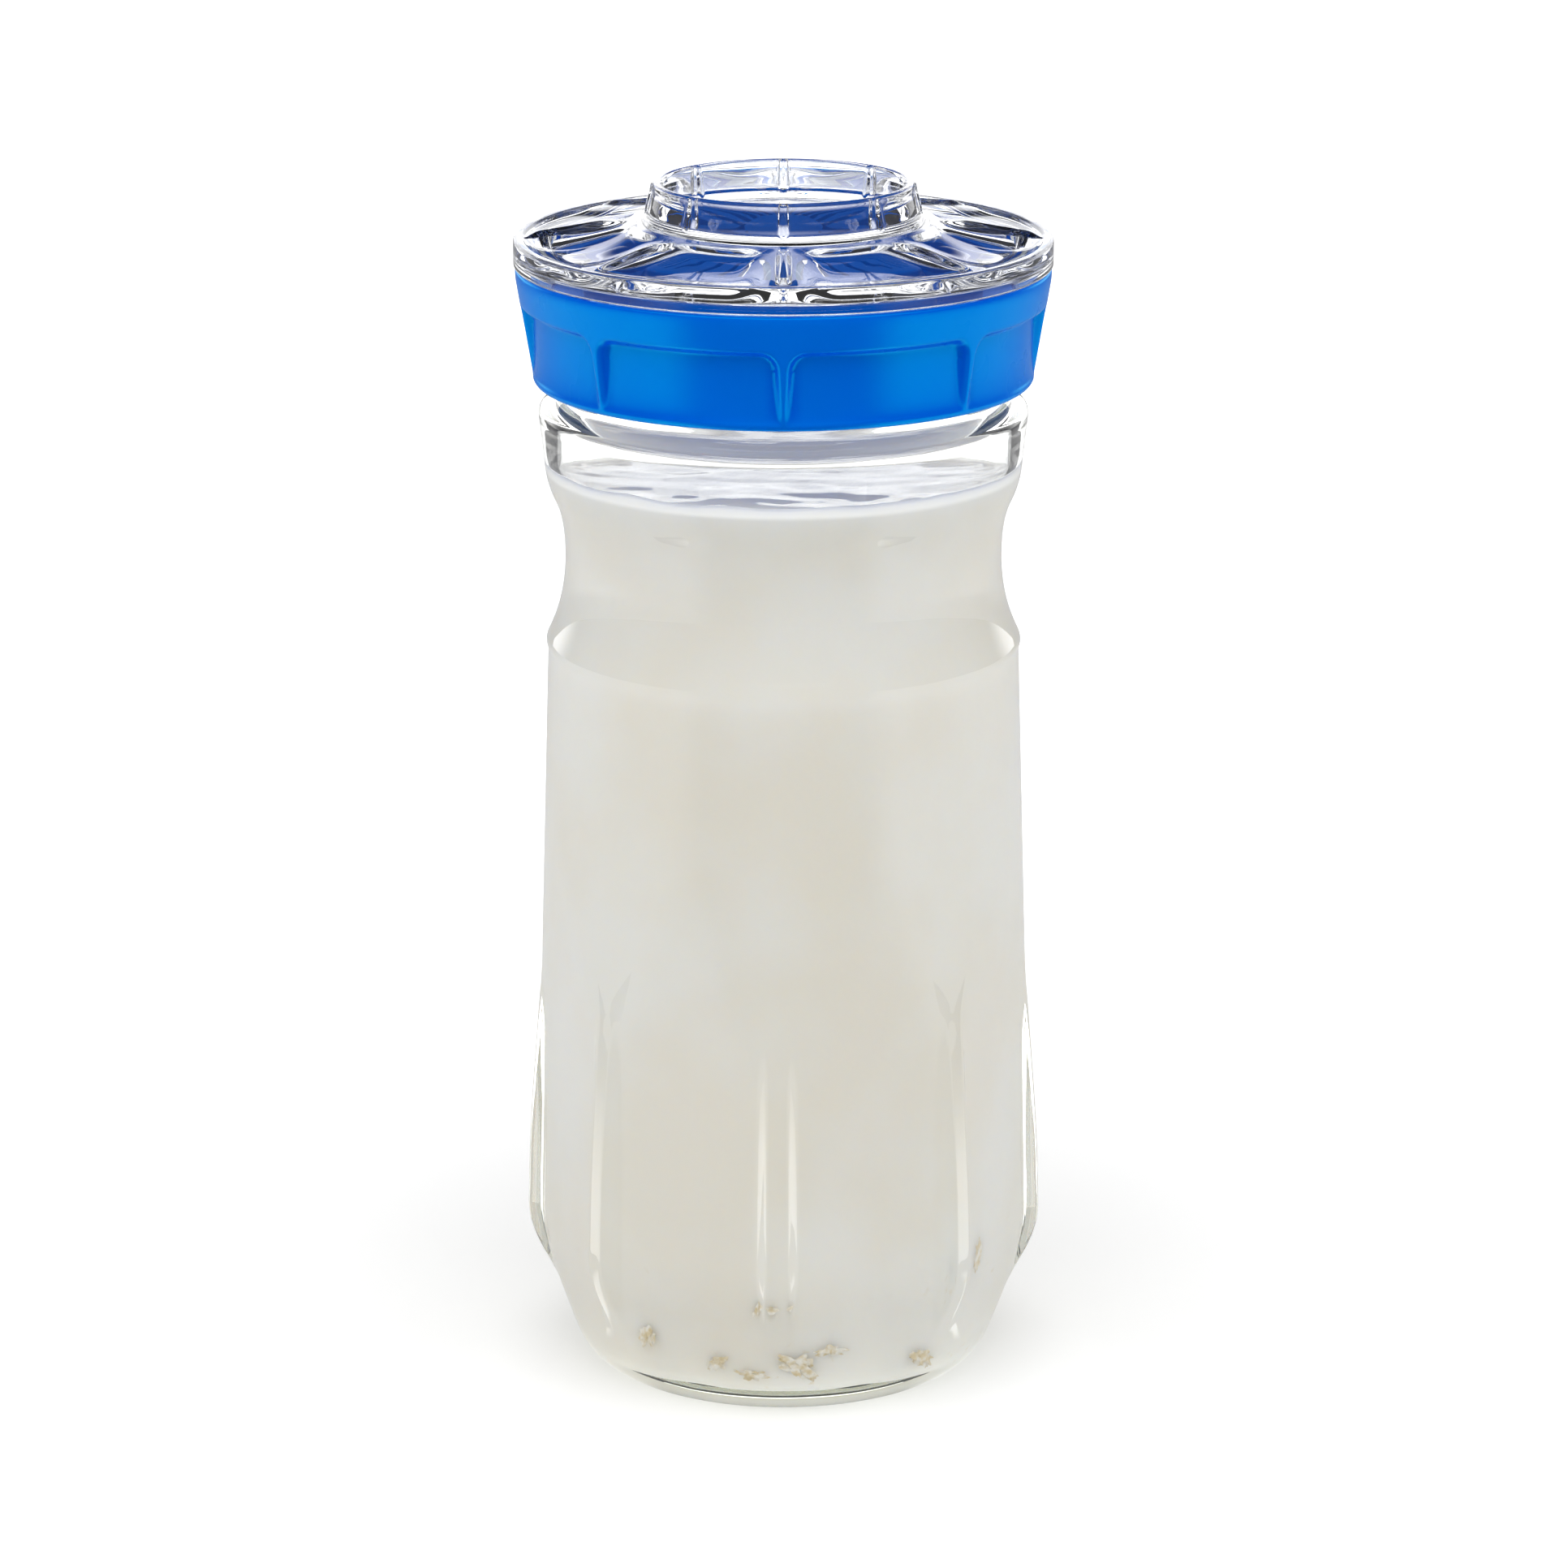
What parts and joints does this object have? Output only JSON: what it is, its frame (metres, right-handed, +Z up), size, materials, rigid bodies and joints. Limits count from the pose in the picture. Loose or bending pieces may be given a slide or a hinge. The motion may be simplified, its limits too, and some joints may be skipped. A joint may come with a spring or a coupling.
{
  "type": "fermentation jar",
  "caption": "Ribbed clear glass fermentation jar filled with milk kefir, under a blue screw collar, a slotted strainer and a transparent push-on cap with a raised ring.",
  "frame": {"origin": "middle of the foot, on the surface that the jar stands on", "axes": "+Z up along the jar's axis, -Y towards the front, where the collar's and the cap's ribs line up"},
  "size_m": [0.1, 0.1, 0.229],
  "materials": {
    "glass": "clear pressed glass, fire polished",
    "kefir": "opaque cultured milk, off-white",
    "grain": "soft tan curd",
    "blue_plastic": "glossy moulded polypropylene",
    "clear_plastic": "clear glossy moulded plastic",
    "silicone": "translucent silicone"
  },
  "bodies": {
    "jar": {"glass_jar": "glass", "kefir_fill": "kefir", "kefir_grain_1": "grain", "kefir_grain_2": "grain", "kefir_grain_3": "grain", "kefir_grain_4": "grain", "kefir_grain_5": "grain", "kefir_grain_6": "grain", "kefir_grain_7": "grain", "kefir_grain_8": "grain"},
    "gasket": {"jar_gasket": "silicone"},
    "collar": {"screw_collar": "blue_plastic"},
    "strainer": {"strainer": "blue_plastic"},
    "seal": {"cap_seal": "silicone"},
    "cap": {"clear_cap": "clear_plastic"}
  },
  "joints": [
    {"name": "collar_rise", "type": "slide", "parent": "jar", "child": "gasket", "axis": [0, 0, 1], "range_m": [0, 0.006]},
    {"name": "collar_turn", "type": "hinge", "parent": "gasket", "child": "collar", "pos_m": [0, 0, 0.2], "axis": [0, 0, 1], "range_deg": [0, 360]},
    {"name": "strainer_lift", "type": "slide", "parent": "collar", "child": "strainer", "axis": [0, 0, 1], "range_m": [0, 0.03]},
    {"name": "cap_lift", "type": "slide", "parent": "strainer", "child": "seal", "axis": [0, 0, 1], "range_m": [0, 0.03]},
    {"name": "cap_turn", "type": "hinge", "parent": "seal", "child": "cap", "pos_m": [0, 0, 0.215], "axis": [0, 0, 1], "continuous": true}
  ],
  "couplings": [
    {"joint": "collar_rise", "follows": "collar_turn", "m_per_rad": 0.00095492}
  ]
}
